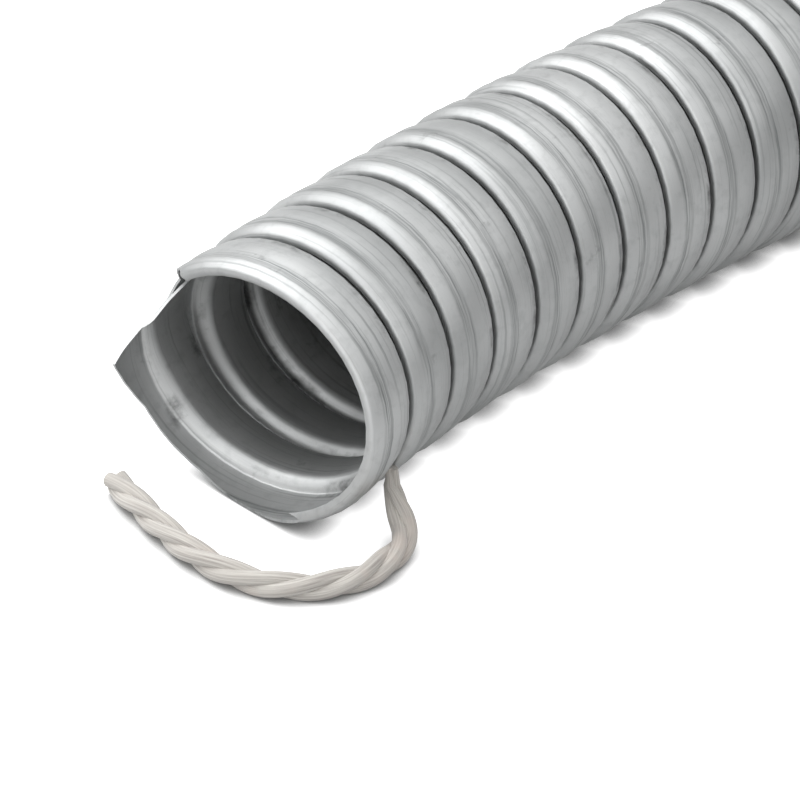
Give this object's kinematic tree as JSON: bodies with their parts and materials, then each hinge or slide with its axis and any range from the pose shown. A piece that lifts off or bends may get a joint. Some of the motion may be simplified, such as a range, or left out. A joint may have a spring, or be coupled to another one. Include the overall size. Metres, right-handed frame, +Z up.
{
  "type": "flexible metal conduit",
  "caption": "Interlocked, left-hand wound flexible steel conduit with cotton packing: a cut length, gently bent, with a loose packing end.",
  "frame": {"origin": "middle of the box of the steel strip, on the floor that the conduit lies on", "axes": "+X along the straight part, towards the far end; +Z up from the floor; the near end bends towards -Y"},
  "size_m": [0.3138, 0.0586, 0.0308],
  "materials": {
    "galvanised_strip": "bright galvanised, rolled, with fine scratches along the strip",
    "cotton": "soft twisted cotton"
  },
  "bodies": {
    "root": {"steel_strip": "galvanised_strip", "packing_cord": "cotton"}
  },
  "joints": []
}
